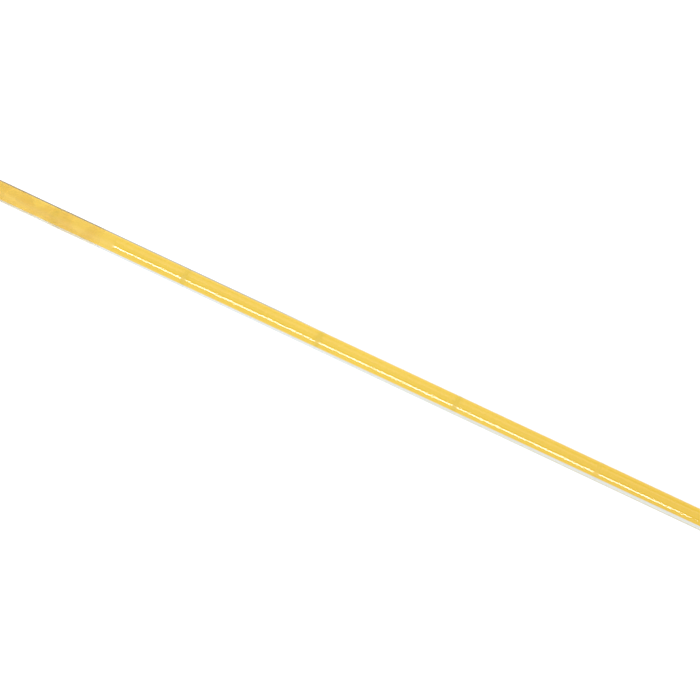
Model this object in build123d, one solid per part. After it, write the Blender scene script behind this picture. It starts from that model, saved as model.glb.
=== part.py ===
from build123d import *
import os
from math import asin, cos, degrees, pi, radians, sin, tan

# A rhythmic gymnastics ribbon wand, lying as it is put away: a stick with a rubber
# handle, a swivel at its tip, a small snap hook, and a ribbon rolled up on its end.
# Stations S are measured in mm along the stick from its butt; X runs the same way.
# The stick's axis is level, and the handle and the ribbon rest on the plane Z = 0.

# Stick
STICK_R = 4.0
SLEEVE_WALL = 0.35
FILM_T = 0.15
FILM_R = STICK_R - SLEEVE_WALL
CORE_R = FILM_R - FILM_T
CORE_BORE_R = 1.5
REST_R = 5.5
AXIS_Z = REST_R
STICK_START = 4.0
STICK_END = 535.0

# Colour film: a strip narrower than the rod's girth, so a seam stays open.
# The seam drifts slowly round the rod, because the strip was laid a little askew.
FILM_STRIP_WIDTH = 19.0
SEAM_MIDDLE_DEG = -16.5
SEAM_TWIST_DEG = 40.0
SEAM_STEPS = 12

# Handle
GRIP_START = STICK_START
GRIP_END = 108.0
GROOVE_PITCH = 4.0
GROOVE_WIDTH = 1.8
GROOVE_DEPTH = 0.55
COLLAR_RIM = 1.5
COLLAR_END = 114.0
COLLAR_TIP_R = 4.5
TAPE_END = 174.0
TAPE_T = 0.15
BUTT_STEM_END = 18.0
BUTT_ROUND = 2.4

# Tip ferrule and the swivel in its nose
FERRULE_START = 518.0
FERRULE_R = 4.9
FERRULE_COLLAR = (528.0, 536.0)
FERRULE_COLLAR_R = 5.2
FERRULE_COLLAR_SLOPE = 1.0
CAVITY_R = 3.0
CAVITY_START = 536.0
CAVITY_END = 543.0
NOSE = 548.0
NOSE_R = 2.9
NOSE_ROUND = 0.7
CRIMPS = (521.0, 525.2)
CRIMP_WIDTH = 1.4
CRIMP_DEPTH = 0.35
PIN_S = 523.1
PIN_R = 0.6
PLUG_FLANGE_R = 3.3
PLUG_STEM = 6.0
PLUG_FLANGE = 1.0
BUSH_R = 1.9
STEM_R = 1.1
RUNNING_CLEARANCE = 0.05
HEAD_R = 2.4
HEAD_T = 1.3
FLANGE_R = 2.6
FLANGE_T = 0.5
WASHER_T = 0.4
LOOP_REACH = 6.5
LOOP_CENTRE = NOSE + LOOP_REACH
LOOP_R = 4.0
LOOP_WIRE_R = 0.8

# Snap hook, standing on edge on the swivel's loop
HOOK_T = 2.4
CLAW_LENGTH = 14.0
CLAW_HEIGHT = 9.0
OPENING_LENGTH = 10.4
OPENING_HEIGHT = 4.8
LINK_GAP = 0.35
HOOK_EDGE = 0.45
LOOP_FAR = LOOP_CENTRE + LOOP_R
CLAW_CENTRE = LOOP_FAR + OPENING_LENGTH / 2 - LOOP_WIRE_R - LINK_GAP
TAIL_R = 2.5
TAIL_HOLE_R = 1.35
TAIL_REACH = 1.6
TAIL = CLAW_CENTRE + CLAW_LENGTH / 2 + TAIL_REACH
GATE_PIVOT_U = 4.1
GATE_PIVOT_V = 3.4
GATE_PIN_R = 0.6
GATE_GAP = 0.12
GATE_FOOT_T = 1.2
GATE_SHOULDER_U = 2.2
GATE_FREE_U = -3.3
GATE_SLANT = 0.6
GATE_UNDER_V = 2.6
GATE_TOP_V = 4.35
FOOT_WIDTH = 1.4
FOOT_EYE_R = 0.95
FOOT_ROOM = (4.2, 3.4)
STUD_U = -0.6
STUD_LENGTH = 2.2
STUD_WIDTH = 1.2
SPRING_T = 0.25
SPRING_TOUCH_U = 0.4
SPRING_GAP = 0.03
SPRING_SEAT = (GATE_PIVOT_U + 1.6, GATE_PIVOT_V - 1.35)

# D-ring between the hook's tail and the ribbon's tab
RING_WIRE_R = 0.6
RING_HALF_WIDTH = 4.0
RING_HEIGHT = 8.0
RING_CORNER = 1.0
BAR_Z = 1.4
RING_TILT_DEG = degrees(asin((AXIS_Z - BAR_Z) / RING_HEIGHT))
BAR = TAIL + RING_HEIGHT * cos(radians(RING_TILT_DEG))

# Ribbon: its doubled end narrows to the tab, and the rest is rolled up on it
RIBBON_WIDTH = 50.0
LEAD_T = 0.5
LEAD_GAP = 3.0
LEAD_START = BAR + LEAD_GAP
LEAD_TIP_WIDTH = 9.0
TAPER_LENGTH = 32.0
LEAD_FLAT = 62.0
ROLL_CENTRE = LEAD_START + TAPER_LENGTH + LEAD_FLAT
ROLL_R = 25.0
PATCH_T = 0.3
PATCH_LENGTH = 22.0
PATCH_MARGIN = 1.6
TAB_T = 1.2
TAB_WIDTH = 5.8
TAB_LOOP_R = 1.3
TAB_LENGTH = 14.5
RIVET_REACH = 10.0
RIVET_S = BAR + RIVET_REACH
RIVET_R = 0.8
RIVET_HEAD_R = 1.7
RIVET_HEAD_T = 0.6

TOTAL_LENGTH = ROLL_CENTRE + ROLL_R
BUTT_X = -TOTAL_LENGTH / 2


def station(s, z=AXIS_Z):
    """The place s mm from the butt, on the stick's axis unless another height is given."""
    return Pos(BUTT_X + s, 0, z)


def turned(profile):
    """A solid turned about the stick's axis from its (station, radius) corners."""
    face = Plane.XZ * make_face(Polyline(*profile, close=True))
    return station(0) * revolve(face, Axis.X)


def ring_profile(start, end, inner, outer):
    return [(start, inner), (start, outer), (end, outer), (end, inner)]


def groove(start, width, radius, depth):
    """Four profile corners of a groove with sloping sides, cut into a radius."""
    slope = width / 4
    return [
        (start, radius),
        (start + slope, radius - depth),
        (start + width - slope, radius - depth),
        (start + width, radius),
    ]


def pin_through_stick():
    """The cross pin that locks the ferrule, also used to bore its hole."""
    return station(PIN_S) * Rot(90, 0, 0) * Cylinder(PIN_R, 2 * FERRULE_R)


def core_tube():
    return turned(ring_profile(STICK_START, STICK_END, CORE_BORE_R, CORE_R)) - pin_through_stick()


def seam_gap():
    """The open seam as a wedge that turns slowly about the axis from butt to tip."""
    girth = 2 * pi * (CORE_R + FILM_T / 2)
    half = pi * (girth - FILM_STRIP_WIDTH) / girth
    near, far = CORE_R / 2, STICK_R + 1
    wedge = make_face(
        Polyline(
            (near, -near * tan(half)),
            (far, -far * tan(half)),
            (far, far * tan(half)),
            (near, near * tan(half)),
            close=True,
        )
    )
    sections = []
    for step in range(SEAM_STEPS + 1):
        share = step / SEAM_STEPS
        s = STICK_START - 1 + share * (STICK_END - STICK_START + 2)
        angle = radians(SEAM_MIDDLE_DEG + SEAM_TWIST_DEG * (share - 0.5))
        outward = (0, -cos(angle), sin(angle))
        sections.append(Plane((s, 0, 0), x_dir=outward, z_dir=(1, 0, 0)) * wedge)
    return station(0) * loft(sections, ruled=True)


def colour_film():
    film = turned(ring_profile(STICK_START, STICK_END, CORE_R, FILM_R))
    return film - seam_gap() - pin_through_stick()


def clear_sleeve():
    return turned(ring_profile(STICK_START, STICK_END, FILM_R, STICK_R)) - pin_through_stick()


def frosted_tape():
    return turned(ring_profile(COLLAR_END, TAPE_END, STICK_R, STICK_R + TAPE_T))


def grip_sleeve():
    """Rubber handle with a groove at every pitch."""
    profile = [(GRIP_START, STICK_R), (GRIP_START, REST_R)]
    count = int((GRIP_END - GRIP_START) / GROOVE_PITCH) - 1
    for k in range(count):
        start = GRIP_START + (k + 1) * GROOVE_PITCH - GROOVE_WIDTH / 2
        profile += groove(start, GROOVE_WIDTH, REST_R, GROOVE_DEPTH)
    profile += [(GRIP_END, REST_R), (GRIP_END, STICK_R)]
    return turned(profile)


def grip_collar():
    return turned(
        [
            (GRIP_END, STICK_R),
            (GRIP_END, REST_R),
            (GRIP_END + COLLAR_RIM, REST_R),
            (COLLAR_END, COLLAR_TIP_R),
            (COLLAR_END, STICK_R),
        ]
    )


def butt_cap():
    """Rounded cap whose stem plugs the tube."""
    cap = turned(
        [
            (0, 0),
            (0, REST_R),
            (STICK_START, REST_R),
            (STICK_START, CORE_BORE_R),
            (BUTT_STEM_END, CORE_BORE_R),
            (BUTT_STEM_END, 0),
        ]
    )
    outer_rim = cap.edges().filter_by(GeomType.CIRCLE).sort_by(Axis.X)[0]
    return fillet(outer_rim, BUTT_ROUND)


def tip_plug():
    """Plug in the tube's front end, which keeps glue out of the swivel's chamber."""
    return turned(
        [
            (STICK_END - PLUG_STEM, 0),
            (STICK_END - PLUG_STEM, CORE_BORE_R),
            (STICK_END, CORE_BORE_R),
            (STICK_END, PLUG_FLANGE_R),
            (STICK_END + PLUG_FLANGE, PLUG_FLANGE_R),
            (STICK_END + PLUG_FLANGE, 0),
        ]
    )


def tip_ferrule():
    """Metal ferrule: a socket for the stick, two crimps, a collar and a rounded nose."""
    profile = [(FERRULE_START, STICK_R), (FERRULE_START, FERRULE_R)]
    for start in CRIMPS:
        profile += groove(start - CRIMP_WIDTH / 2, CRIMP_WIDTH, FERRULE_R, CRIMP_DEPTH)
    collar_start, collar_end = FERRULE_COLLAR
    profile += [
        (collar_start, FERRULE_R),
        (collar_start + FERRULE_COLLAR_SLOPE, FERRULE_COLLAR_R),
        (collar_end - FERRULE_COLLAR_SLOPE, FERRULE_COLLAR_R),
        (collar_end, FERRULE_R),
        (NOSE, NOSE_R),
        (NOSE, BUSH_R),
        (CAVITY_END, BUSH_R),
        (CAVITY_END, CAVITY_R),
        (CAVITY_START, CAVITY_R),
        (CAVITY_START, STICK_R),
    ]
    ferrule = turned(profile) - pin_through_stick()
    nose_rim = ferrule.edges().filter_by(GeomType.CIRCLE).filter_by(
        lambda edge: abs(edge.radius - NOSE_R) < 0.01
    )
    return fillet(nose_rim, NOSE_ROUND)


def nose_bush():
    """Flanged bush in the ferrule's nose, in which the swivel's stem turns."""
    bore = STEM_R + RUNNING_CLEARANCE
    return turned(
        [
            (CAVITY_END - FLANGE_T, bore),
            (CAVITY_END - FLANGE_T, FLANGE_R),
            (CAVITY_END, FLANGE_R),
            (CAVITY_END, BUSH_R),
            (NOSE, BUSH_R),
            (NOSE, bore),
        ]
    )


def thrust_washer():
    end = CAVITY_END - FLANGE_T
    return turned(ring_profile(end - WASHER_T, end, STEM_R + RUNNING_CLEARANCE, HEAD_R))


def swivel_eye():
    """Headed stem with a round loop, lying flat at rest."""
    head_end = CAVITY_END - FLANGE_T - WASHER_T - RUNNING_CLEARANCE
    stem = turned(
        [
            (head_end - HEAD_T, 0),
            (head_end - HEAD_T, HEAD_R),
            (head_end, HEAD_R),
            (head_end, STEM_R),
            (LOOP_CENTRE - LOOP_R, STEM_R),
            (LOOP_CENTRE - LOOP_R, 0),
        ]
    )
    return stem + station(LOOP_CENTRE) * Torus(LOOP_R, LOOP_WIRE_R)


def hook_plate(sketch, thickness):
    """A plate of the hook: a sketch in the claw's own (U along X, V up) axes."""
    return station(CLAW_CENTRE) * extrude(Plane.XZ * sketch, thickness / 2, both=True)


def gate_outline():
    """The gate's bar: its free end slants under the hook's nose, so it opens inwards only."""
    return Polyline(
        (GATE_FREE_U + GATE_GAP, GATE_UNDER_V),
        (GATE_SHOULDER_U, GATE_UNDER_V),
        (GATE_SHOULDER_U, GATE_TOP_V),
        (GATE_FREE_U + GATE_SLANT + GATE_GAP, GATE_TOP_V),
        close=True,
    )


def gate_pivot(radius, length):
    place = station(CLAW_CENTRE + GATE_PIVOT_U, AXIS_Z + GATE_PIVOT_V)
    return place * Rot(90, 0, 0) * Cylinder(radius, length)


def bevelled_plate(sketch):
    """A plate of the hook with both its flat faces' outer edges bevelled."""
    plate = hook_plate(sketch, HOOK_T)
    rims = plate.faces().sort_by(Axis.Y)[0].edges() + plate.faces().sort_by(Axis.Y)[-1].edges()
    return chamfer(rims, HOOK_EDGE)


def hook_body():
    """Cast claw with a gap for the gate and an eye at its tail."""
    tail = bevelled_plate(Pos(TAIL - CLAW_CENTRE, 0) * Circle(TAIL_R))
    claw = bevelled_plate(SlotOverall(CLAW_LENGTH, CLAW_HEIGHT)) + tail
    opening = hook_plate(SlotOverall(OPENING_LENGTH, OPENING_HEIGHT), 2 * HOOK_T)
    tail_hole = station(TAIL) * Rot(90, 0, 0) * Cylinder(TAIL_HOLE_R, 2 * HOOK_T)
    gap = make_face(
        Polyline(
            (GATE_FREE_U, OPENING_HEIGHT / 4),
            (GATE_SHOULDER_U + GATE_GAP, OPENING_HEIGHT / 4),
            (GATE_SHOULDER_U + GATE_GAP, CLAW_HEIGHT),
            (GATE_FREE_U + 3 * GATE_SLANT, CLAW_HEIGHT),
            (GATE_FREE_U, GATE_UNDER_V),
            close=True,
        )
    )
    foot_room = Pos(GATE_PIVOT_U, GATE_PIVOT_V) * Rectangle(*FOOT_ROOM)
    slot = hook_plate(foot_room, GATE_FOOT_T + 2 * GATE_GAP)
    pin_hole = gate_pivot(GATE_PIN_R, 2 * HOOK_T)
    return claw - opening - tail_hole - hook_plate(gap, 2 * HOOK_T) - slot - pin_hole


def hook_gate():
    """Gate with a foot on the pivot and a small thumb stud."""
    bar = hook_plate(make_face(gate_outline()), GATE_FOOT_T + GATE_GAP)
    arm = Rectangle(GATE_PIVOT_U - GATE_SHOULDER_U, FOOT_WIDTH)
    foot = Pos((GATE_SHOULDER_U + GATE_PIVOT_U) / 2, GATE_PIVOT_V) * arm
    foot += Pos(GATE_PIVOT_U, GATE_PIVOT_V) * Circle(FOOT_EYE_R)
    stud = Pos(STUD_U, GATE_TOP_V) * SlotOverall(STUD_LENGTH, STUD_WIDTH)
    gate = bar + hook_plate(foot, GATE_FOOT_T) + hook_plate(stud, GATE_FOOT_T)
    return gate - gate_pivot(GATE_PIN_R + RUNNING_CLEARANCE, 2 * HOOK_T)


def gate_pin():
    return gate_pivot(GATE_PIN_R, HOOK_T)


def gate_spring():
    """Leaf spring from the slot's end to the underside of the gate."""
    seat_u, seat_v = SPRING_SEAT
    touch_v = GATE_UNDER_V - SPRING_GAP
    leaf = make_face(
        Polyline(
            (SPRING_TOUCH_U, touch_v - SPRING_T),
            (seat_u, seat_v),
            (seat_u, seat_v + SPRING_T),
            (SPRING_TOUCH_U, touch_v),
            close=True,
        )
    )
    return hook_plate(leaf, GATE_FOOT_T - 2 * GATE_GAP)


def d_ring():
    """Wire D: its round end hangs in the hook's tail and its straight bar holds the tab."""
    top = RING_HEIGHT - RING_CORNER
    side = RING_HALF_WIDTH - RING_CORNER
    bow = RING_HALF_WIDTH
    off = RING_CORNER * cos(radians(45))
    path = Wire(
        [
            ThreePointArc((bow, -bow), (0, 0), (bow, bow)),
            Line((bow, bow), (top, bow)),
            ThreePointArc((top, bow), (top + off, side + off), (RING_HEIGHT, side)),
            Line((RING_HEIGHT, side), (RING_HEIGHT, -side)),
            ThreePointArc((RING_HEIGHT, -side), (top + off, -side - off), (top, -bow)),
            Line((top, -bow), (bow, -bow)),
        ]
    )
    section = Plane(origin=path @ 0, z_dir=path % 0) * Circle(RING_WIRE_R)
    return station(TAIL) * Rot(0, RING_TILT_DEG, 0) * sweep(section, path=path)


def lead_half_width(s):
    """Half the ribbon's width at a station: it narrows evenly over the taper."""
    share = min(1.0, (s - LEAD_START) / TAPER_LENGTH)
    return (LEAD_TIP_WIDTH + (RIBBON_WIDTH - LEAD_TIP_WIDTH) * share) / 2


def flat_piece(stations, z, thickness, margin=0.0):
    """A flat piece of the ribbon's outline through some stations, drawn in by a margin."""
    right = [(s, lead_half_width(s) - margin) for s in stations]
    left = [(s, margin - lead_half_width(s)) for s in reversed(stations)]
    return station(0, z) * extrude(make_face(Polyline(*right, *left, close=True)), thickness)


def ribbon_lead():
    return flat_piece([LEAD_START, LEAD_START + TAPER_LENGTH, ROLL_CENTRE], 0, LEAD_T)


def end_patch():
    """Stiffening patch sewn over the narrow end."""
    end = LEAD_START + PATCH_LENGTH
    return flat_piece([LEAD_START + PATCH_MARGIN, end], LEAD_T, PATCH_T, PATCH_MARGIN) - rivet_stem()


def ribbon_tab():
    """Strap folded round the D-ring's bar, with its two plies laid on the patch."""
    under = LEAD_T + PATCH_T
    tongue = station(BAR + TAB_LENGTH / 2, under + TAB_T / 2) * Box(TAB_LENGTH, TAB_WIDTH, TAB_T)
    loop = station(BAR, BAR_Z) * Rot(90, 0, 0) * Cylinder(TAB_LOOP_R, TAB_WIDTH)
    bar = station(BAR, BAR_Z) * Rot(90, 0, 0) * Cylinder(RING_WIRE_R + RUNNING_CLEARANCE, 2 * TAB_WIDTH)
    return tongue + loop - bar - rivet_stem()


def rivet_stem():
    height = LEAD_T + PATCH_T + TAB_T
    return station(RIVET_S, height / 2) * Cylinder(RIVET_R, height)


def tab_rivet():
    top = LEAD_T + PATCH_T + TAB_T
    head = station(RIVET_S, top + RIVET_HEAD_T / 2) * Cylinder(RIVET_HEAD_R, RIVET_HEAD_T)
    head = fillet(head.edges().sort_by(Axis.Z)[-1], RIVET_HEAD_T / 2)
    return rivet_stem() + head


def ribbon_roll():
    """The wound length as one closed cylinder of its outer size, standing on the lead."""
    return station(ROLL_CENTRE, LEAD_T + ROLL_R) * Rot(90, 0, 0) * Cylinder(ROLL_R, RIBBON_WIDTH)


def parts():
    return {
        "core_tube": core_tube(),
        "colour_film": colour_film(),
        "clear_sleeve": clear_sleeve(),
        "frosted_tape": frosted_tape(),
        "grip_sleeve": grip_sleeve(),
        "grip_collar": grip_collar(),
        "butt_cap": butt_cap(),
        "tip_plug": tip_plug(),
        "tip_ferrule": tip_ferrule(),
        "ferrule_pin": pin_through_stick(),
        "nose_bush": nose_bush(),
        "thrust_washer": thrust_washer(),
        "swivel_eye": swivel_eye(),
        "hook_body": hook_body(),
        "hook_gate": hook_gate(),
        "gate_pin": gate_pin(),
        "gate_spring": gate_spring(),
        "d_ring": d_ring(),
        "ribbon_tab": ribbon_tab(),
        "tab_rivet": tab_rivet(),
        "end_patch": end_patch(),
        "ribbon_lead": ribbon_lead() - rivet_stem(),
        "ribbon_roll": ribbon_roll(),
    }


os.makedirs("parts", exist_ok=True)
for name, solid in parts().items():
    export_step(solid, f"parts/{name}.step")
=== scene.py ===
import math
import bpy
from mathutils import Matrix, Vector


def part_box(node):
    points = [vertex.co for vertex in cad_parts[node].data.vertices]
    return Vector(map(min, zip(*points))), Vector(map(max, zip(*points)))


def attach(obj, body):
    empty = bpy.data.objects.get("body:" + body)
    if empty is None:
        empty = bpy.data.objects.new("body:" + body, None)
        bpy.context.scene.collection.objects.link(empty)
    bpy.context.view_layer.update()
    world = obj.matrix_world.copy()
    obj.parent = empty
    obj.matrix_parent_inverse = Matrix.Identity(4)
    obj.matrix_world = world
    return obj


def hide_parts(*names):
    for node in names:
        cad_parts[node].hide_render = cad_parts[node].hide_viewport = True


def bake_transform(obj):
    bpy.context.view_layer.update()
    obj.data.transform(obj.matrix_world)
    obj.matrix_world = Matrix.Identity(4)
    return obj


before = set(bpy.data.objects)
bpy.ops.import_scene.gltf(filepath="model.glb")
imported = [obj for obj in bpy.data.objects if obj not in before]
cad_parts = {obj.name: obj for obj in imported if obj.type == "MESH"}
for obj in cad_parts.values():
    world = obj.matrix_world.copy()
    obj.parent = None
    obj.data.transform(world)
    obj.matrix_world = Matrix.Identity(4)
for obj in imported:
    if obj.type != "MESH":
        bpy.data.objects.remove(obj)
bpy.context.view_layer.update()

MM = 0.001

# ---------------------------------------------------------------------------
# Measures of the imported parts, in metres
# ---------------------------------------------------------------------------
sleeve_lo, sleeve_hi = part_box("clear_sleeve")
film_lo, film_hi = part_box("colour_film")
grip_lo, grip_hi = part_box("grip_sleeve")
roll_lo, roll_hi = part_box("ribbon_roll")
patch_lo, patch_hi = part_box("end_patch")
tab_lo, tab_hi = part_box("ribbon_tab")
spring_lo, spring_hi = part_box("gate_spring")
AXIS_Z = (sleeve_lo.z + sleeve_hi.z) / 2
SLEEVE_R = (sleeve_hi.z - sleeve_lo.z) / 2
FILM_R = (film_hi.y - film_lo.y) / 2
BUTT_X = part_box("butt_cap")[0].x
TAPE_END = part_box("frosted_tape")[1].x
LEAD_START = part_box("ribbon_lead")[0].x
RIBBON_WIDTH = roll_hi.y - roll_lo.y

# The sleeve is tacked to the film at an even pitch, counted from the butt
MARK_PITCH = 0.0607
FIRST_MARK = BUTT_X + 0.1520

# ---------------------------------------------------------------------------
# Camera
# ---------------------------------------------------------------------------
VIEW_AZIMUTH = math.radians(28.455)
VIEW_ELEVATION = math.radians(60.0)
VIEW_DISTANCE = 0.975
LENS_MM = 127.85
SENSOR_MM = 36.0
AIM_STATION = 0.286
AIM_RISE = 0.0018
CLIP_NEAR, CLIP_FAR = 0.01, 100.0


def place_camera():
    """Looks down at the middle stretch of the stick, which crosses the whole picture."""
    a, e = VIEW_AZIMUTH, VIEW_ELEVATION
    back = Vector((math.sin(a) * math.cos(e), -math.cos(a) * math.cos(e), math.sin(e)))
    right = Vector((math.cos(a), math.sin(a), 0.0))
    up = back.cross(right)
    across = (up - Vector((1, 0, 0)) * up.x).normalized()
    aim = Vector((BUTT_X + AIM_STATION, 0, AXIS_Z)) + across * AIM_RISE
    camera = bpy.data.objects.new("camera", bpy.data.cameras.new("camera"))
    camera.data.lens = LENS_MM
    camera.data.sensor_width = SENSOR_MM
    camera.data.clip_start = CLIP_NEAR
    camera.data.clip_end = CLIP_FAR
    camera.location = aim + back * VIEW_DISTANCE
    camera.rotation_mode = "QUATERNION"
    camera.rotation_quaternion = (-back).to_track_quat("-Z", "Y")
    bpy.context.scene.collection.objects.link(camera)
    bpy.context.scene.camera = camera


place_camera()

# ---------------------------------------------------------------------------
# Material nodes
# ---------------------------------------------------------------------------
WHITE = (1.0, 1.0, 1.0)
FACING_OUT = 1
BACKFACING_OUT = 6
COLOUR_OUT = 2


class Graph:
    """A material's node tree, built with one short call per node."""

    def __init__(self, name):
        self.material = bpy.data.materials.new(name)
        self.material.use_nodes = True
        self.nodes = self.material.node_tree.nodes
        self.links = self.material.node_tree.links
        self.nodes.clear()
        self.output = self.nodes.new("ShaderNodeOutputMaterial")
        self.place = self.nodes.new("ShaderNodeTexCoord").outputs["Object"]

    def node(self, kind, out=0, settings=None, **inputs):
        """Adds a node; an input is named, or numbered after an underscore."""
        made = self.nodes.new("ShaderNode" + kind)
        for key, value in (settings or {}).items():
            setattr(made, key, value)
        for key, value in inputs.items():
            numbered = key[0] == "_"
            socket = made.inputs[int(key[1:]) if numbered else key.replace("_", " ")]
            self.put(value, socket)
        return made.outputs[out]

    def put(self, value, socket):
        if isinstance(value, bpy.types.NodeSocket):
            self.links.new(value, socket)
        elif isinstance(value, tuple) and len(value) == 3 and socket.type == "RGBA":
            socket.default_value = (*value, 1.0)
        else:
            socket.default_value = value

    def math(self, operation, a, b=0.0):
        return self.node("Math", settings={"operation": operation}, _0=a, _1=b)

    def mix(self, factor, a, b):
        """Colour a where the factor is 0, and b where it is 1."""
        return self.node("Mix", out=COLOUR_OUT, settings={"data_type": "RGBA"},
                         _0=factor, _6=a, _7=b)

    def noise(self, scale, detail=2.0, stretch=None):
        where = self.place
        if stretch is not None:
            where = self.node("Mapping", _0=self.place, Scale=stretch)
        return self.node("TexNoise", Vector=where, Scale=scale, Detail=detail)

    def ramp(self, value, low, high, to_low=0.0, to_high=1.0):
        """Smooth step of a value from low to high, given out as to_low to to_high."""
        return self.node("MapRange", settings={"interpolation_type": "SMOOTHSTEP"},
                         _0=value, _1=low, _2=high, _3=to_low, _4=to_high)

    def bump(self, height, distance, strength):
        return self.node("Bump", Strength=strength, Distance=distance, Height=height)

    def axes(self):
        split = self.nodes.new("ShaderNodeSeparateXYZ")
        self.links.new(self.place, split.inputs[0])
        return split.outputs

    def finish(self, shader):
        self.links.new(shader, self.output.inputs["Surface"])
        return self.material

    def principled(self, **inputs):
        """Ends the material with one Principled shader."""
        return self.finish(self.node("BsdfPrincipled", **inputs))


def mark_strength(g, half_width, wander):
    """1 on a tack mark's middle and 0 away from it, as a ring with an uneven edge."""
    turns = g.math("DIVIDE", g.math("SUBTRACT", g.axes()[0], FIRST_MARK), MARK_PITCH)
    part = g.math("SUBTRACT", g.math("FRACT", g.math("ADD", turns, 0.5)), 0.5)
    off = g.math("MULTIPLY", g.math("ABSOLUTE", part), MARK_PITCH)
    uneven = g.math("MULTIPLY", g.math("SUBTRACT", g.noise(330.0), 0.5), wander)
    return g.ramp(g.math("ADD", off, uneven), half_width, half_width * 0.15)


# ---------------------------------------------------------------------------
# Materials of the stick
# ---------------------------------------------------------------------------
FILM_MARK_HALF, FILM_MARK_WANDER, FILM_MARK_SHARE = 2.6 * MM, 1.6 * MM, 0.65
FILM_FADE = (BUTT_X + 0.310, BUTT_X + 0.430)

SLEEVE_IOR = 1.46
SLEEVE_MARK_HALF, SLEEVE_MARK_WANDER = 1.4 * MM, 0.5 * MM
SLEEVE_DULL_ROUGH = 0.55
UNDER_TAPE = (TAPE_END + 5.0 * MM, TAPE_END + 7.5 * MM)
FAR_SIDE = (-1.0 * MM, 1.0 * MM)

# How far edge-on the skin is seen, from 0 to 1, where each edge tint begins and is full
EDGE_SHADE_FACING = (0.54, 0.66)
PALE_FACING = (0.40, 0.66)
# The dark far-edge tint is painted shade: a dark line that stands in for the shade and refraction
# along the skin's far edge
EDGE_SHADE_TINT = (0.19, 0.19, 0.20)
PALE_TINT = (0.80, 0.83, 0.83)

# Share of the painted dark edge shade along the stick: full at the tape, less further from the butt
EDGE_SHADE_REACH = (BUTT_X + 0.245, BUTT_X + 0.275)
EDGE_SHADE_NEAR, EDGE_SHADE_FAR = 0.62, 0.16
TAPE_EDGE_SHADE = (TAPE_END - 5.0 * MM, TAPE_END + 5.0 * MM)

TAPE_FADE = (TAPE_END - 7.0 * MM, TAPE_END - 0.5 * MM)


def film_material():
    """Yellow film, mottled, darker at the tack marks and a little duller to the tip."""
    g = Graph("yellow_film")
    mottle = g.ramp(g.noise(45.0, 3.0), 0.3, 0.7)
    colour = g.mix(mottle, (0.965, 0.655, 0.086), (0.990, 0.682, 0.092))
    fine = g.ramp(g.noise(900.0, 2.0), 0.3, 0.7, 0.0, 0.25)
    colour = g.mix(fine, colour, (0.965, 0.672, 0.094))
    marks = mark_strength(g, FILM_MARK_HALF, FILM_MARK_WANDER)
    marks = g.math("MULTIPLY", marks, FILM_MARK_SHARE)
    colour = g.mix(marks, colour, (0.845, 0.590, 0.066))
    ends = g.ramp(g.axes()[0], *FILM_FADE)
    colour = g.mix(ends, colour, (0.930, 0.612, 0.076))
    return g.principled(Base_Color=colour, Roughness=0.6, Specular_IOR_Level=0.0)


def sleeve_material():
    """Clear glossy skin: it shows what is under it and mirrors the lamps.

    It is dull at the tack marks and under the tape. Seen edge-on its far side carries a
    painted dark edge shade, most of all near the handle, and its near side is pale. Only
    its outside is glossy, because light that leaves the skin from inside would turn its
    edges black.
    """
    g = Graph("clear_sleeve")
    ripple = g.noise(60.0, 2.0, (0.35, 1.0, 1.0))
    normal = g.bump(ripple, 0.35 * MM, 0.06)
    marks = mark_strength(g, SLEEVE_MARK_HALF, SLEEVE_MARK_WANDER)
    under_tape = g.ramp(g.axes()[0], *UNDER_TAPE, 1.0, 0.0)
    dull = g.math("MAXIMUM", marks, under_tape)
    smears = g.ramp(g.noise(22.0, 3.0, (1.0, 2.0, 2.0)), 0.52, 0.75, 0.035, 0.09)
    rough = g.math("ADD", smears, g.math("MULTIPLY", dull, SLEEVE_DULL_ROUGH))
    gloss = g.node("BsdfAnisotropic", Color=WHITE, Roughness=rough, Normal=normal)

    facing = g.node("LayerWeight", out=FACING_OUT, Blend=0.5)
    far_side = g.ramp(g.axes()[1], *FAR_SIDE)
    # How much painted edge shade there is along the stick: full at the tape, less towards the tip
    edge_shade_share = g.math("MAXIMUM", g.ramp(g.axes()[0], *EDGE_SHADE_REACH, EDGE_SHADE_NEAR, EDGE_SHADE_FAR),
                  g.ramp(g.axes()[0], *TAPE_EDGE_SHADE, 1.0, 0.0))
    # Painted shade: the far edge, seen edge-on, is tinted dark
    edge_shade = g.math("MULTIPLY", g.ramp(facing, *EDGE_SHADE_FACING), far_side)
    tint = g.mix(g.math("MULTIPLY", edge_shade, edge_shade_share), WHITE, EDGE_SHADE_TINT)
    near_side = g.math("SUBTRACT", 1.0, far_side)
    pale = g.math("MULTIPLY", g.ramp(facing, *PALE_FACING), near_side)
    clear = g.node("BsdfTransparent", Color=g.mix(pale, tint, PALE_TINT))

    outside = g.math("SUBTRACT", 1.0, g.node("NewGeometry", out=BACKFACING_OUT))
    fresnel = g.node("Fresnel", IOR=SLEEVE_IOR, Normal=normal)
    share = g.math("MULTIPLY", fresnel, outside)
    return g.finish(g.node("MixShader", _0=share, _1=clear, _2=gloss))


def bonded_material():
    """The sleeve's inner face, which lies on the film and has no gloss of its own."""
    g = Graph("sleeve_inside")
    haze = g.ramp(g.noise(400.0, 3.0), 0.35, 0.75)
    return g.finish(g.node("BsdfTransparent", Color=g.mix(haze, WHITE, (0.985, 0.985, 0.98))))


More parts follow.
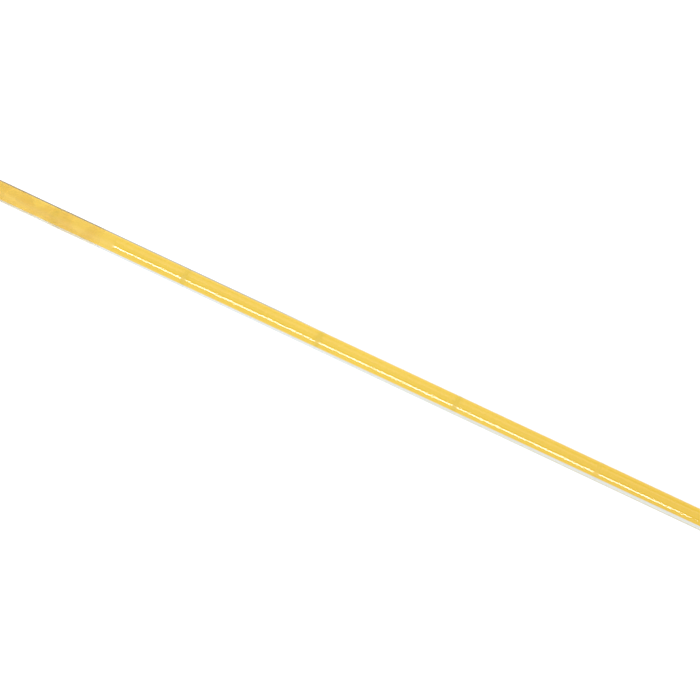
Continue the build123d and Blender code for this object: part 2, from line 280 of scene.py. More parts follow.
def tape_material():
    """Frosted tape: a thin, blotchy veil that fades out at its end."""
    g = Graph("frosted_tape")
    blotch = g.ramp(g.noise(110.0, 4.0), 0.36, 0.66)
    colour = g.mix(blotch, (0.86, 0.61, 0.10), (0.94, 0.75, 0.17))
    normal = g.bump(g.noise(2600.0, 2.0), 0.04 * MM, 0.6)
    matte = g.node("BsdfPrincipled", Base_Color=colour, Roughness=0.62, Normal=normal)
    cover = g.math("MULTIPLY", g.ramp(blotch, 0.0, 1.0, 0.16, 0.05),
                   g.ramp(g.axes()[0], *TAPE_FADE, 1.0, 0.25))
    clear = g.node("BsdfTransparent", Color=WHITE)
    return g.finish(g.node("MixShader", _0=cover, _1=clear, _2=matte))


def fibreglass_material():
    g = Graph("fibreglass")
    strands = g.ramp(g.noise(1.0, 2.0, (60.0, 3200.0, 3200.0)), 0.3, 0.7)
    colour = g.mix(strands, (0.70, 0.735, 0.69), (0.79, 0.815, 0.785))
    normal = g.bump(strands, 0.02 * MM, 0.5)
    return g.principled(Base_Color=colour, Roughness=0.5, Normal=normal)


def rubber_material():
    g = Graph("grip_rubber")
    dust = g.ramp(g.noise(130.0, 5.0), 0.45, 0.8)
    colour = g.mix(dust, (0.020, 0.020, 0.022), (0.050, 0.049, 0.047))
    rough = g.ramp(dust, 0.0, 1.0, 0.62, 0.80)
    normal = g.bump(g.noise(1800.0, 4.0), 0.12 * MM, 0.7)
    return g.principled(Base_Color=colour, Roughness=rough, Normal=normal)


def moulded_material():
    g = Graph("moulded_plastic")
    patch = g.ramp(g.noise(90.0, 3.0), 0.35, 0.7)
    colour = g.mix(patch, (0.030, 0.030, 0.033), (0.040, 0.040, 0.043))
    rough = g.ramp(patch, 0.0, 1.0, 0.32, 0.44)
    normal = g.bump(g.noise(2400.0, 3.0), 0.05 * MM, 0.6)
    return g.principled(Base_Color=colour, Roughness=rough, Normal=normal)


# ---------------------------------------------------------------------------
# Metals
# ---------------------------------------------------------------------------
def metal_material(name, light, dark, rough, stretch):
    """Metal with turning or brushing lines in one direction, and handling haze."""
    g = Graph(name)
    lines = g.noise(1.0, 3.0, stretch)
    haze = g.ramp(g.noise(260.0, 4.0), 0.38, 0.72)
    colour = g.mix(haze, light, dark)
    glint = g.math("ADD", g.ramp(haze, 0.0, 1.0, rough, rough * 1.7),
                   g.ramp(lines, 0.3, 0.7, -0.03, 0.05))
    normal = g.bump(lines, 0.03 * MM, 0.5)
    return g.principled(Base_Color=colour, Metallic=1.0, Roughness=glint, Normal=normal)


def cast_material():
    """Plated casting, with an uneven skin and worn patches."""
    g = Graph("plated_casting")
    wear = g.ramp(g.noise(380.0, 3.0), 0.42, 0.74)
    colour = g.mix(wear, (0.56, 0.555, 0.545), (0.45, 0.445, 0.435))
    rough = g.ramp(wear, 0.0, 1.0, 0.20, 0.36)
    normal = g.bump(g.noise(900.0, 4.0), 0.06 * MM, 0.7)
    return g.principled(Base_Color=colour, Metallic=1.0, Roughness=rough, Normal=normal)


# ---------------------------------------------------------------------------
# Cloths and thread
# ---------------------------------------------------------------------------
STRIP_MAP = "strip"

# Distance between threads, across and along the strip
SATIN_THREADS = (0.30 * MM, 0.55 * MM)
WEBBING_THREADS = (0.75 * MM, 0.70 * MM)
PATCH_THREADS = (0.50 * MM, 0.50 * MM)
HEM_OUTER, HEM_INNER = 1.1 * MM, 1.6 * MM


def cloth_coordinates(g):
    """(along, across) of a strip of cloth in metres, from the piece's own strip map."""
    uv = g.nodes.new("ShaderNodeUVMap")
    uv.uv_map = STRIP_MAP
    split = g.nodes.new("ShaderNodeSeparateXYZ")
    g.links.new(uv.outputs[0], split.inputs[0])
    return split.outputs[0], split.outputs[1]


def weave(g, along, across, threads):
    """Height of a plain weave, from -1 to 1."""
    warp, weft = threads
    a = g.math("SINE", g.math("MULTIPLY", along, 2 * math.pi / weft))
    b = g.math("SINE", g.math("MULTIPLY", across, 2 * math.pi / warp))
    return g.math("MULTIPLY", a, b)


def satin_material(half_width):
    """Yellow satin with streaks along it and a darker, raised hem at both edges."""
    g = Graph("satin")
    along, across = cloth_coordinates(g)
    threads = weave(g, along, across, SATIN_THREADS)
    streaked = g.node("CombineXYZ", X=g.math("MULTIPLY", along, 18.0),
                      Y=g.math("MULTIPLY", across, 2600.0))
    shade = g.ramp(g.node("TexNoise", Vector=streaked, Scale=1.0, Detail=2.0), 0.3, 0.7)
    colour = g.mix(shade, (0.93, 0.63, 0.070), (0.99, 0.73, 0.110))
    hem = g.ramp(g.math("ABSOLUTE", across), half_width - HEM_INNER, half_width - HEM_OUTER)
    colour = g.mix(g.math("MULTIPLY", hem, 0.55), colour, (0.84, 0.54, 0.055))
    height = g.math("ADD", threads, g.math("MULTIPLY", hem, 1.5))
    normal = g.bump(height, 0.03 * MM, 0.6)
    rough = g.ramp(shade, 0.0, 1.0, 0.30, 0.42)
    return g.principled(Base_Color=colour, Roughness=rough, Normal=normal,
                        Sheen_Weight=0.15, Sheen_Roughness=0.4)


def webbing_material():
    g = Graph("tab_webbing")
    along, across = cloth_coordinates(g)
    ribs = weave(g, along, across, WEBBING_THREADS)
    blotch = g.ramp(g.noise(700.0, 3.0), 0.3, 0.7)
    colour = g.mix(blotch, (0.84, 0.56, 0.065), (0.94, 0.68, 0.11))
    # Painted shade: the colour darkens in the weave's low points, where the bump is lowest
    colour = g.mix(g.ramp(ribs, -1.0, 1.0, 0.35, 0.0), colour, (0.55, 0.34, 0.04))
    normal = g.bump(ribs, 0.12 * MM, 0.9)
    return g.principled(Base_Color=colour, Roughness=0.78, Normal=normal, Sheen_Weight=0.3)


def patch_material():
    g = Graph("stiffened_patch")
    along, across = cloth_coordinates(g)
    threads = weave(g, along, across, PATCH_THREADS)
    blotch = g.ramp(g.noise(300.0, 4.0), 0.3, 0.7)
    colour = g.mix(blotch, (0.90, 0.64, 0.12), (0.96, 0.73, 0.20))
    normal = g.bump(threads, 0.06 * MM, 0.8)
    return g.principled(Base_Color=colour, Roughness=0.7, Normal=normal, Sheen_Weight=0.2)


def thread_material():
    g = Graph("sewing_thread")
    twist = g.noise(1.0, 2.0, (4200.0, 4200.0, 4200.0))
    colour = g.mix(g.ramp(twist, 0.35, 0.65), (0.70, 0.43, 0.045), (0.90, 0.64, 0.12))
    normal = g.bump(twist, 0.05 * MM, 0.8)
    return g.principled(Base_Color=colour, Roughness=0.6, Normal=normal)


def floor_material():
    """Pale floor that glows a little, so that it is as white as its surroundings."""
    g = Graph("pale_floor")
    grain = g.ramp(g.noise(3.0, 3.0), 0.3, 0.7)
    colour = g.mix(grain, (0.31, 0.31, 0.31), (0.33, 0.33, 0.33))
    return g.principled(Base_Color=colour, Roughness=1.0, Specular_IOR_Level=0.0,
                        Emission_Color=WHITE, Emission_Strength=0.86)


FILM = film_material()
SLEEVE = sleeve_material()
BONDED = bonded_material()
TAPE = tape_material()
FIBRE = fibreglass_material()
RUBBER = rubber_material()
MOULDED = moulded_material()
NICKEL = metal_material("nickel_plating", (0.56, 0.555, 0.54), (0.46, 0.455, 0.44),
                        0.14, (2600.0, 120.0, 120.0))
STEEL = metal_material("stainless_steel", (0.50, 0.50, 0.51), (0.40, 0.40, 0.41),
                       0.18, (900.0, 900.0, 900.0))
BRASS = metal_material("turned_brass", (0.66, 0.45, 0.16), (0.52, 0.34, 0.11),
                       0.22, (3200.0, 150.0, 150.0))
CASTING = cast_material()
SATIN = satin_material(RIBBON_WIDTH / 2)
WEBBING = webbing_material()
PATCH = patch_material()
THREAD = thread_material()

CAD_LOOKS = {
    "core_tube": FIBRE,
    "colour_film": FILM,
    "frosted_tape": TAPE,
    "grip_collar": MOULDED,
    "butt_cap": MOULDED,
    "tip_plug": MOULDED,
    "tip_ferrule": NICKEL,
    "ferrule_pin": STEEL,
    "nose_bush": BRASS,
    "thrust_washer": STEEL,
    "swivel_eye": STEEL,
    "hook_body": CASTING,
    "hook_gate": CASTING,
    "gate_pin": STEEL,
    "d_ring": STEEL,
    "tab_rivet": NICKEL,
}
for node_name, look in CAD_LOOKS.items():
    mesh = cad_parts[node_name].data
    mesh.materials.clear()
    mesh.materials.append(look)


# ---------------------------------------------------------------------------
# Mesh helpers
# ---------------------------------------------------------------------------
def new_piece(name, points, faces, looks, body, replaced=(), smooth=True):
    """Makes a mesh piece with its materials, puts it on its body, if any, and hides the CAD parts
    that it replaces.
    """
    mesh = bpy.data.meshes.new(name)
    mesh.from_pydata(points, [], faces)
    mesh.validate()
    for look in looks:
        mesh.materials.append(look)
    for face in mesh.polygons:
        face.use_smooth = smooth
    piece = bpy.data.objects.new(name, mesh)
    bpy.context.scene.collection.objects.link(piece)
    if body is not None:
        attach(piece, body)
    if replaced:
        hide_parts(*replaced)
    return piece


def revolved(profile, around, z):
    """Points and faces of a closed (x, r) loop turned about the stick's axis."""
    points = []
    for x, r in profile:
        for k in range(around):
            t = 2 * math.pi * k / around
            points.append((x, -r * math.cos(t), z + r * math.sin(t)))
    faces = []
    rows = len(profile)
    for i in range(rows):
        j = (i + 1) % rows
        for k in range(around):
            n = (k + 1) % around
            faces.append((i * around + k, j * around + k, j * around + n, i * around + n))
    return points, faces


def ring_wall(faces, rings, count):
    """Adds the faces between rings of the same number of points."""
    for i in range(rings - 1):
        here, there = i * count, (i + 1) * count
        for k in range(count):
            m = (k + 1) % count
            faces.append((here + k, here + m, there + m, there + k))


def eased(t):
    """Smooth step from 0 to 1."""
    return t * t * (3 - 2 * t)


def strip_map(piece, values):
    """Stores each point's (along, across) on the piece, for its cloth material."""
    layer = piece.data.uv_layers.new(name=STRIP_MAP)
    for loop in piece.data.loops:
        layer.data[loop.index].uv = values[loop.vertex_index]


# ---------------------------------------------------------------------------
# Stick: clear sleeve and ribbed handle
# ---------------------------------------------------------------------------
SLEEVE_AROUND = 128
SLEEVE_STEP = 3.0 * MM
SLEEVE_EDGE = 0.4 * MM
SLEEVE_EDGE_DROP = 0.12 * MM
SLEEVE_MARGIN = 5.0 * MM
SKIN_GAP = 0.01 * MM
PINCH_DEPTH = 0.045 * MM
PINCH_REACH = 0.8 * MM
PINCH_STEP = 0.35 * MM
PINCH_STEPS = 6

GRIP_AROUND = 96
GRIP_EDGE = 0.25 * MM
GRIP_BORE_GAP = 0.02 * MM
GROOVE_PITCH = 4.0 * MM
GROOVE_WIDTH = 1.8 * MM
GROOVE_DEPTH = 0.55 * MM
GROOVE_ROUND = 0.22
GROOVE_SHARES = (-0.5, -0.40, -0.30, -0.18, 0.0, 0.18, 0.30, 0.40, 0.5)


def sleeve_profile():
    """Outer line with a slight pinch at each tack mark, then the inner line back."""
    start, end = sleeve_lo.x, sleeve_hi.x
    stations = {start + SLEEVE_EDGE, end - SLEEVE_EDGE}
    count = int((end - start) / SLEEVE_STEP)
    stations.update(start + (end - start) * (k + 0.5) / count for k in range(count))
    marks = []
    mark = FIRST_MARK - 2 * MARK_PITCH
    while mark < end - SLEEVE_MARGIN:
        if mark > start + SLEEVE_MARGIN:
            marks.append(mark)
            near = range(-PINCH_STEPS, PINCH_STEPS + 1)
            stations.update(mark + PINCH_STEP * k for k in near)
        mark += MARK_PITCH
    outer = [(start, SLEEVE_R - SLEEVE_EDGE_DROP)]
    for x in sorted(stations):
        nearest = min(abs(x - m) for m in marks)
        outer.append((x, SLEEVE_R - PINCH_DEPTH * math.exp(-(nearest / PINCH_REACH) ** 2)))
    outer.append((end, SLEEVE_R - SLEEVE_EDGE_DROP))
    inner = [(end, FILM_R + SKIN_GAP), (start, FILM_R + SKIN_GAP)]
    return outer, inner


def make_sleeve():
    """The clear skin; it casts no shadow on the film that it lies on."""
    outer, inner = sleeve_profile()
    points, faces = revolved(outer + inner, SLEEVE_AROUND, AXIS_Z)
    piece = new_piece("sleeve_skin", points, faces, [SLEEVE, BONDED], "stick",
                      ["clear_sleeve"])
    piece.visible_shadow = False
    piece.visible_diffuse = False
    skin_rows = len(outer) - 1
    for k, face in enumerate(piece.data.polygons):
        face.material_index = 0 if k // SLEEVE_AROUND < skin_rows else 1


def groove_drop(t):
    """Depth of a round-edged groove, at t from 0 to 1 across it."""
    if t < GROOVE_ROUND:
        return GROOVE_DEPTH * math.sin(0.5 * math.pi * t / GROOVE_ROUND)
    if t > 1 - GROOVE_ROUND:
        return GROOVE_DEPTH * math.sin(0.5 * math.pi * (1 - t) / GROOVE_ROUND)
    return GROOVE_DEPTH


def make_grip():
    """Rubber handle: soft-edged ribs, a plain band at each end, and a bore."""
    start, end = grip_lo.x, grip_hi.x
    top = (grip_hi.z - grip_lo.z) / 2
    outer = [(start, top - GRIP_EDGE), (start + GRIP_EDGE, top)]
    for k in range(int((end - start) / GROOVE_PITCH) - 1):
        middle = start + (k + 1) * GROOVE_PITCH
        for share in GROOVE_SHARES:
            outer.append((middle + share * GROOVE_WIDTH, top - groove_drop(share + 0.5)))
    outer += [(end - GRIP_EDGE, top), (end, top - GRIP_EDGE)]
    bore = SLEEVE_R + GRIP_BORE_GAP
    points, faces = revolved(outer + [(end, bore), (start, bore)], GRIP_AROUND, AXIS_Z)
    new_piece("grip_ribbed", points, faces, [RUBBER], "stick", ["grip_sleeve"])


make_sleeve()
make_grip()

# ---------------------------------------------------------------------------
# Ribbon: one long satin strip and its doubling
# ---------------------------------------------------------------------------
RIBBON_LENGTH = 6.0
DOUBLING_LENGTH = 1.0
DOUBLING_INSET = 0.4 * MM
PLY_GAP = 0.17 * MM
CLOTH_T = 0.11 * MM
ROLL_X = (roll_lo.x + roll_hi.x) / 2
ROLL_Z = (roll_lo.z + roll_hi.z) / 2
LEAD_Z = 0.13 * MM
LEAD_LENGTH = ROLL_X - LEAD_START
LEAD_STEPS = 60
ACROSS_STEPS = 10
TURN_STEP = math.radians(6.0)
OUTER_R = ROLL_Z - LEAD_Z
CORE_R = 3.2 * MM
TIP_HALF = 4.5 * MM
TAPER = 32.0 * MM

# The roll's layers lie as close as 6 m of ribbon needs; its radius shrinks by this per radian
LAYER_PITCH = math.pi * (OUTER_R ** 2 - CORE_R ** 2) / (RIBBON_LENGTH - LEAD_LENGTH)
SHRINK = LAYER_PITCH / (2 * math.pi)

# The lead lies flat under the tab and patch, then ripples, with its edges curled up
FLAT_LENGTH = 0.028
RIPPLE_PITCH = 0.031
RIPPLE_SLANT = 42.0
RIPPLE_HEIGHT = 0.55 * MM
CURL_HEIGHT = 0.9 * MM

# Unevenness of the winding: layers that stand out at the sides, and loose ones
SIDE_WANDER_SLOW = 0.35 * MM
SIDE_WANDER_QUICK = 0.2 * MM
LOOSE_WANDER = 0.02 * MM


def roll_angle(length):
    """Angle that the spiral has turned through after that length of ribbon."""
    return (OUTER_R - math.sqrt(max(OUTER_R ** 2 - 2 * SHRINK * length, 0.0))) / SHRINK


def half_width_at(along):
    share = min(1.0, along / TAPER)
    return TIP_HALF + (RIBBON_WIDTH / 2 - TIP_HALF) * share


def lead_lift(along, across):
    """Height of the lead's ripples and curled edges, none at its ends."""
    share = (along - FLAT_LENGTH) / (LEAD_LENGTH - FLAT_LENGTH)
    middle = math.sin(math.pi * min(1.0, max(0.0, share))) ** 2
    wave = 0.5 + 0.5 * math.sin(along * 2 * math.pi / RIPPLE_PITCH + across * RIPPLE_SLANT)
    curl = (abs(across) / (RIBBON_WIDTH / 2)) ** 3
    return middle * (RIPPLE_HEIGHT * wave + CURL_HEIGHT * curl)


def lead_row(along, half, lift):
    """Points of one row of the lead, with its (along, across) values."""
    points, values = [], []
    for j in range(ACROSS_STEPS + 1):
        across = half * (2 * j / ACROSS_STEPS - 1)
        z = LEAD_Z + lift + lead_lift(along, across)
        points.append((LEAD_START + along, across, z))
        values.append((along, across))
    return points, values


def roll_row(along, angle, half, lift):
    """Points of one row of the roll, with its (along, across) values."""
    wander = min(1.0, angle / 2.0)
    side = wander * (SIDE_WANDER_SLOW * math.sin(angle * 0.173)
                     + SIDE_WANDER_QUICK * math.sin(angle * 0.71 + 1.0))
    loose = wander * LOOSE_WANDER * math.sin(3 * angle + 0.05 * angle ** 1.5)
    r = OUTER_R - lift - SHRINK * angle + loose
    x, z = ROLL_X + r * math.sin(angle), ROLL_Z - r * math.cos(angle)
    points, values = [], []
    for j in range(ACROSS_STEPS + 1):
        across = half * (2 * j / ACROSS_STEPS - 1)
        points.append((x, across + side, z))
        values.append((along, across))
    return points, values


def ribbon_strip(length, inset, lift):
    """A strip along the lead and up into the roll, set in from the edges and lifted."""
    points, values = [], []
    for k in range(LEAD_STEPS):
        along = LEAD_LENGTH * k / LEAD_STEPS
        row, row_values = lead_row(along, half_width_at(along) - inset, lift)
        points += row
        values += row_values
    turned = roll_angle(length - LEAD_LENGTH)
    turn_steps = int(turned / TURN_STEP)
    for k in range(turn_steps + 1):
        angle = turned * k / turn_steps
        along = LEAD_LENGTH + OUTER_R * angle - SHRINK * angle ** 2 / 2
        row, row_values = roll_row(along, angle, half_width_at(along) - inset, lift)
        points += row
        values += row_values
    faces = []
    wide = ACROSS_STEPS + 1
    for i in range(LEAD_STEPS + turn_steps):
        for j in range(ACROSS_STEPS):
            a = i * wide + j
            faces.append((a, a + wide, a + wide + 1, a + 1))
    return points, faces, values


def thicken(piece):
    solid = piece.modifiers.new("thickness", "SOLIDIFY")
    solid.thickness = CLOTH_T
    solid.offset = 0.0
    solid.use_rim = True


def make_ribbon():
    points, faces, values = ribbon_strip(RIBBON_LENGTH, 0.0, 0.0)
    main = new_piece("ribbon_satin", points, faces, [SATIN], "ribbon",
                     ["ribbon_lead", "ribbon_roll"])
    strip_map(main, values)
    thicken(main)
    points, faces, values = ribbon_strip(DOUBLING_LENGTH, DOUBLING_INSET, PLY_GAP)
    inner = new_piece("ribbon_doubling", points, faces, [SATIN], "ribbon")
    strip_map(inner, values)
    thicken(inner)


# ---------------------------------------------------------------------------
# Sewing
# ---------------------------------------------------------------------------
THREAD_AROUND = 8
THREAD_RINGS = 7
THREAD_RISE = 0.10 * MM


def add_stitch(points, faces, start, end, radius):
    """One stitch: a thread that dives into the cloth at both ends."""
    a, b = Vector(start), Vector(end)
    along = (b - a).normalized()
    side = along.cross(Vector((0, 0, 1))).normalized()
    base = len(points)
    for i in range(THREAD_RINGS):
        t = i / (THREAD_RINGS - 1)
        centre = a.lerp(b, t) + Vector((0, 0, THREAD_RISE * math.sin(math.pi * t)))
        swell = math.sin(math.pi * min(max(t, 0.04), 0.96)) ** 0.5
        size = radius * (0.35 + 0.65 * swell)
        for k in range(THREAD_AROUND):
            u = 2 * math.pi * k / THREAD_AROUND
            rise = Vector((0, 0, size * math.sin(u)))
            points.append(tuple(centre + side * size * math.cos(u) + rise))
    for i in range(THREAD_RINGS - 1):
        here, there = base + i * THREAD_AROUND, base + (i + 1) * THREAD_AROUND
        for k in range(THREAD_AROUND):
            n = (k + 1) % THREAD_AROUND
            faces.append((here + k, here + n, there + n, there + k))
    last = base + (THREAD_RINGS - 1) * THREAD_AROUND
    faces.append(tuple(base + k for k in range(THREAD_AROUND)))
    faces.append(tuple(last + k for k in reversed(range(THREAD_AROUND))))


def stitch_line(corners, height, step, thread):
    """Points and faces of the stitches along a run of (x, y) corners, at one height."""
    points, faces = [], []
    for (x0, y0), (x1, y1) in zip(corners, corners[1:]):
        length = math.hypot(x1 - x0, y1 - y0)
        count = max(1, round(length / step))
        for k in range(count):
            t0, t1 = (k + 0.14) / count, (k + 0.86) / count
            start = (x0 + (x1 - x0) * t0, y0 + (y1 - y0) * t0, height)
            end = (x0 + (x1 - x0) * t1, y0 + (y1 - y0) * t1, height)
            add_stitch(points, faces, start, end, thread)
    return points, faces


# ---------------------------------------------------------------------------
# Stiffened patch
# ---------------------------------------------------------------------------
PATCH_MARGIN = 1.6 * MM
PATCH_CORNER_R = 1.3 * MM
SEAM_CORNER_R = 1.0 * MM
SEAM_END_INSET = 1.4 * MM
SEAM_NARROW_INSET = 1.0 * MM
SEAM_WIDE_INSET = 1.9 * MM
SEAM_SHORTEST = 0.8 * MM
SEAM_STEP = 1.55 * MM
SEAM_THREAD = 0.16 * MM
SEAM_RISE = 0.02 * MM
CORNER_STEPS = 6


def rounded_outline(corners, radius):
    """A closed outline whose corners are rounded with a radius."""
    out = []
    count = len(corners)
    for i in range(count):
        before, here, after = (Vector(corners[(i + d) % count]) for d in (-1, 0, 1))
        to_before, to_after = (before - here).normalized(), (after - here).normalized()
        reach = radius / math.tan(to_before.angle(to_after) / 2)
        first, last = here + to_before * reach, here + to_after * reach
        for k in range(CORNER_STEPS + 1):
            t = k / CORNER_STEPS
            out.append(first * (1 - t) ** 2 + here * 2 * t * (1 - t) + last * t ** 2)
    return [(p.x, p.y) for p in out]


def ring_of_long_runs(outline):
    """Drops the short steps of the rounded corners, and closes the outline."""
    kept = [outline[0]]
    for p in outline[1:]:
        if math.hypot(p[0] - kept[-1][0], p[1] - kept[-1][1]) > SEAM_SHORTEST:
            kept.append(p)
    return kept + [outline[0]]


def make_patch():
    """Patch with rounded corners and a rolled edge, and the line of stitches on it."""
    start, end = patch_lo.x, patch_hi.x
    wide = patch_hi.y
    narrow = half_width_at(start - LEAD_START) - PATCH_MARGIN
    corners = [(start, -narrow), (end, -wide), (end, wide), (start, narrow)]
    outline = rounded_outline(corners, PATCH_CORNER_R)
    centre = Vector((sum(x for x, _ in outline) / len(outline), 0.0))
    low, high = patch_lo.z, patch_hi.z
    rings = [(0.0, low), (0.0, high - 0.12 * MM), (0.12 * MM, high), (0.9 * MM, high),
             (1.2 * MM, high - 0.03 * MM)]
    points, faces, values = [], [], []
    for inset, z in rings:
        for x, y in outline:
            toward = (centre - Vector((x, y))).normalized()
            px, py = x + toward.x * inset, y + toward.y * inset
            points.append((px, py, z))
            values.append((px - start, py))
    n = len(outline)
    ring_wall(faces, len(rings), n)
    faces.append(tuple((len(rings) - 1) * n + k for k in range(n)))
    faces.append(tuple(reversed(range(n))))
    piece = new_piece("patch_sewn", points, faces, [PATCH], "ribbon", ["end_patch"])
    strip_map(piece, values)

    x0, x1 = start + SEAM_END_INSET, end - SEAM_END_INSET
    y0, y1 = narrow - SEAM_NARROW_INSET, wide - SEAM_WIDE_INSET
    ring = rounded_outline([(x0, -y0), (x1, -y1), (x1, y1), (x0, y0)], SEAM_CORNER_R)
    points, faces = stitch_line(ring_of_long_runs(ring), high + SEAM_RISE, SEAM_STEP, SEAM_THREAD)
    new_piece("patch_stitching", points, faces, [THREAD], "ribbon")


# ---------------------------------------------------------------------------
# Strap folded round the ring's bar
# ---------------------------------------------------------------------------
STRAP_MID_Z = 1.4 * MM
STRAP_PLY_OFF = 0.30 * MM
STRAP_HALF_T = 0.26 * MM
STRAP_TURN_R = 0.955 * MM
STRAP_BAR_REACH = 1.3 * MM
STRAP_JOIN = 2.4 * MM
STRAP_LEAVE = math.radians(62)
STRAP_RUN_STEPS = 14
STRAP_JOIN_STEPS = 8
STRAP_TURN_STEPS = 28
STRAP_ACROSS_STEPS = 8
STRAP_SEAM_FROM = 4.9 * MM
STRAP_SEAM_END_INSET = 1.1 * MM
STRAP_SEAM_INSET = 0.85 * MM
STRAP_SEAM_STEP = 1.3 * MM
STRAP_SEAM_THREAD = 0.15 * MM
STRAP_SEAM_RISE = 0.01 * MM


def strap_line():
    """Centre line (x, z) of the strap: in along the top ply, round the bar, back below."""
    bar_x = tab_lo.x + STRAP_BAR_REACH
    end = tab_hi.x
    join = bar_x + STRAP_JOIN
    ply_z = STRAP_MID_Z + STRAP_PLY_OFF
    line = []
    for k in range(STRAP_RUN_STEPS):
        line.append((end - (end - join) * k / STRAP_RUN_STEPS, ply_z))
    leave_x = bar_x + STRAP_TURN_R * math.cos(STRAP_LEAVE)
    leave_z = STRAP_MID_Z + STRAP_TURN_R * math.sin(STRAP_LEAVE)
    for k in range(STRAP_JOIN_STEPS):
        t = k / STRAP_JOIN_STEPS
        line.append((join + (leave_x - join) * t, ply_z + (leave_z - ply_z) * eased(t)))
    mirrored = [(x, 2 * STRAP_MID_Z - z) for x, z in reversed(line)]
    for k in range(STRAP_TURN_STEPS + 1):
        t = STRAP_LEAVE + (2 * math.pi - 2 * STRAP_LEAVE) * k / STRAP_TURN_STEPS
        line.append((bar_x + STRAP_TURN_R * math.cos(t), STRAP_MID_Z + STRAP_TURN_R * math.sin(t)))
    return line + mirrored


def make_strap():
    """The folded strap with rounded edges, and the box of stitches on its top ply."""
    line = strap_line()
    half = (tab_hi.y - tab_lo.y) / 2
    upper = []
    for j in range(STRAP_ACROSS_STEPS + 1):
        share = 2 * j / STRAP_ACROSS_STEPS - 1
        upper.append((share, math.sqrt(max(0.0, 1 - abs(share) ** 8))))
    section = upper + [(share, -height) for share, height in reversed(upper[1:-1])]
    points, values, faces = [], [], []
    travelled = 0.0
    for i, (x, z) in enumerate(line):
        px, pz = line[max(i - 1, 0)]
        nx, nz = line[min(i + 1, len(line) - 1)]
        length = math.hypot(nx - px, nz - pz)
        normal = (-(nz - pz) / length, (nx - px) / length)
        if i:
            travelled += math.hypot(x - px, z - pz)
        for share, height in section:
            off = STRAP_HALF_T * height
            points.append((x + normal[0] * off, half * share, z + normal[1] * off))
            values.append((travelled, half * share))
    n = len(section)
    ring_wall(faces, len(line), n)
    faces.append(tuple(reversed(range(n))))
    faces.append(tuple((len(line) - 1) * n + k for k in range(n)))
    piece = new_piece("strap_folded", points, faces, [WEBBING], "ribbon",
                      ["ribbon_tab"])
    strip_map(piece, values)

    x0, x1 = tab_lo.x + STRAP_SEAM_FROM, tab_hi.x - STRAP_SEAM_END_INSET
    y1 = half - STRAP_SEAM_INSET
    top = STRAP_MID_Z + STRAP_PLY_OFF + STRAP_HALF_T + STRAP_SEAM_RISE
    box = [(x0, -y1), (x1, -y1), (x1, y1), (x0, y1), (x0, -y1)]
    points, faces = stitch_line(box, top, STRAP_SEAM_STEP, STRAP_SEAM_THREAD)
    new_piece("strap_stitching", points, faces, [THREAD], "ribbon")


# ---------------------------------------------------------------------------
# Leaf spring of the gate
# ---------------------------------------------------------------------------
SPRING_STEPS = 16
SPRING_HALF_T = 0.1 * MM
SPRING_INSET = 0.125 * MM
SPRING_BEND = 0.35
SPRING_SECTION = [(-1, -1), (-0.9, -1), (0.9, -1), (1, -1), (1, 1), (0.9, 1), (-0.9, 1), (-1, 1)]


def make_spring():
    """Leaf spring that bends down along its length, from the top of its part's box to the bottom.
    """
    x0, x1 = spring_lo.x, spring_hi.x
    half = (spring_hi.y - spring_lo.y) / 2
    z0, z1 = spring_hi.z - SPRING_INSET, spring_lo.z + SPRING_INSET
    points, faces = [], []
    for k in range(SPRING_STEPS + 1):
        t = k / SPRING_STEPS
        drop = eased(t) * SPRING_BEND + t * (1 - SPRING_BEND)
        for a, b in SPRING_SECTION:
            points.append((x0 + (x1 - x0) * t, half * a, z0 + (z1 - z0) * drop + SPRING_HALF_T * b))
    n = len(SPRING_SECTION)
    for i in range(SPRING_STEPS):
        for k in range(n):
            m = (k + 1) % n
            faces.append((i * n + k, (i + 1) * n + k, (i + 1) * n + m, i * n + m))
    faces.append(tuple(range(n)))
    faces.append(tuple(SPRING_STEPS * n + k for k in reversed(range(n))))
    piece = new_piece("leaf_spring", points, faces, [STEEL], None, ["gate_spring"],
                      smooth=False)
    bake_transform(piece)


make_ribbon()
make_patch()
make_strap()
make_spring()

# ---------------------------------------------------------------------------
# Floor, world and lamps
# ---------------------------------------------------------------------------
# The floor lies well below the wand, so that the ribbon can hang free of it
FLOOR_Z = -0.25
FLOOR_SIZE = 8.0
FLOOR_STEPS = 8

# Brightness of the tent, from this height of the sky to straight overhead
TENT_FROM_HEIGHT = 0.15
TENT_LOW, TENT_TOP = 1.17, 1.02
BACKDROP = 1.4

# What reflections see, as (height, brightness): white with one dark band in it
REFLECTED_BANDS = ((0.0, 0.50), (0.10, 1.0), (0.42, 1.0), (0.56, 0.10), (0.80, 0.16),
                   (0.93, 0.95), (1.0, 1.0))

STRIP_ANGLE = math.radians(38.0)
STRIP_REACH = 2.6
STRIP_MIDDLE_X = BUTT_X + AIM_STATION - 0.715
STRIP_SIZE = (1.25, 0.70)
STRIP_RADIANCE = 17.0
STRIP_COLOUR = (0.85, 0.92, 1.0)
SOFT_PLACE = (-0.6, 0.9, 1.6)
SOFT_SIZE = (1.2, 1.2)
SOFT_RADIANCE = 0.9
SOFT_COLOUR = (1.0, 0.99, 0.97)


def make_floor():
    wide = FLOOR_STEPS + 1
    ticks = [FLOOR_SIZE * (k / FLOOR_STEPS - 0.5) for k in range(wide)]
    points = [(x, y, FLOOR_Z) for x in ticks for y in ticks]
    faces = []
    for i in range(FLOOR_STEPS):
        for j in range(FLOOR_STEPS):
            a = i * wide + j
            faces.append((a, a + wide, a + wide + 1, a + 1))
    mesh = bpy.data.meshes.new("floor")
    mesh.from_pydata(points, [], faces)
    mesh.materials.append(floor_material())
    floor = bpy.data.objects.new("floor", mesh)
    bpy.context.scene.collection.objects.link(floor)


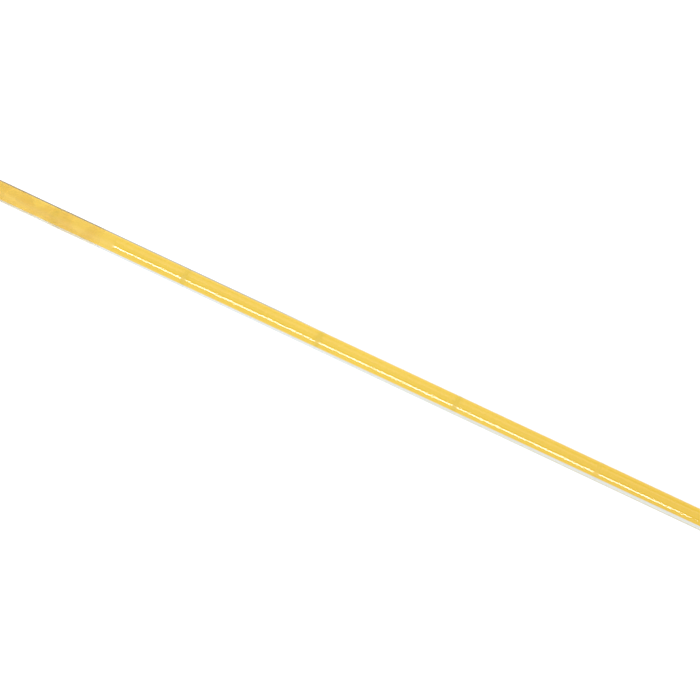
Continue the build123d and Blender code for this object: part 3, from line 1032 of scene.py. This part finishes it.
def make_world():
    """A light tent, bright at the horizon and a little darker overhead.

    Reflections see it with a dark band, like a dark card in the tent, so that the metals
    read as metal, and the camera sees a plain white backdrop.
    """
    world = bpy.data.worlds.new("light_tent")
    bpy.context.scene.world = world
    world.use_nodes = True
    nodes, links = world.node_tree.nodes, world.node_tree.links
    nodes.clear()
    place = nodes.new("ShaderNodeTexCoord")
    split = nodes.new("ShaderNodeSeparateXYZ")
    tent = nodes.new("ShaderNodeMapRange")
    bands = nodes.new("ShaderNodeValToRGB")
    ray = nodes.new("ShaderNodeLightPath")
    seen = nodes.new("ShaderNodeMix")
    backdrop = nodes.new("ShaderNodeMix")
    light = nodes.new("ShaderNodeBackground")
    out = nodes.new("ShaderNodeOutputWorld")
    links.new(place.outputs["Generated"], split.inputs[0])
    links.new(split.outputs["Z"], tent.inputs["Value"])
    tent.inputs["From Min"].default_value = TENT_FROM_HEIGHT
    tent.inputs["From Max"].default_value = 1.0
    tent.inputs["To Min"].default_value = TENT_LOW
    tent.inputs["To Max"].default_value = TENT_TOP
    links.new(split.outputs["Z"], bands.inputs["Fac"])
    bands.color_ramp.interpolation = "EASE"
    stops = bands.color_ramp.elements
    first, *between, last = REFLECTED_BANDS
    for stop, (_, level) in ((stops[0], first), (stops[1], last)):
        stop.color = (level, level, level, 1.0)
    for height, level in between:
        stops.new(height).color = (level, level, level, 1.0)
    links.new(ray.outputs["Is Glossy Ray"], seen.inputs[0])
    links.new(tent.outputs["Result"], seen.inputs[2])
    links.new(bands.outputs["Color"], seen.inputs[3])
    links.new(ray.outputs["Is Camera Ray"], backdrop.inputs[0])
    links.new(seen.outputs[0], backdrop.inputs[2])
    backdrop.inputs[3].default_value = BACKDROP
    links.new(backdrop.outputs[0], light.inputs["Strength"])
    links.new(light.outputs[0], out.inputs[0])


def make_lamp(name, place, aim, size, radiance, colour, diffuse=True):
    """An area lamp of a radiance, seen only by its light."""
    data = bpy.data.lights.new(name, "AREA")
    data.shape = "RECTANGLE"
    data.size, data.size_y = size
    data.energy = radiance * math.pi * size[0] * size[1]
    data.color = colour
    lamp = bpy.data.objects.new(name, data)
    bpy.context.scene.collection.objects.link(lamp)
    lamp.location = place
    lamp.rotation_mode = "QUATERNION"
    lamp.rotation_quaternion = (Vector(aim) - Vector(place)).to_track_quat("-Z", "Y")
    lamp.visible_camera = False
    lamp.visible_diffuse = diffuse


def make_lights():
    """A strip lamp that only makes the stick's long highlight, and a soft lamp behind."""
    place = (STRIP_MIDDLE_X, -STRIP_REACH * math.cos(STRIP_ANGLE),
             AXIS_Z + STRIP_REACH * math.sin(STRIP_ANGLE))
    aim = (STRIP_MIDDLE_X, 0, AXIS_Z)
    make_lamp("strip_lamp", place, aim, STRIP_SIZE, STRIP_RADIANCE, STRIP_COLOUR, diffuse=False)
    make_lamp("soft_lamp", SOFT_PLACE, (0, 0, 0), SOFT_SIZE, SOFT_RADIANCE, SOFT_COLOUR)


make_floor()
make_world()
make_lights()
bpy.context.scene.view_settings.view_transform = "Standard"
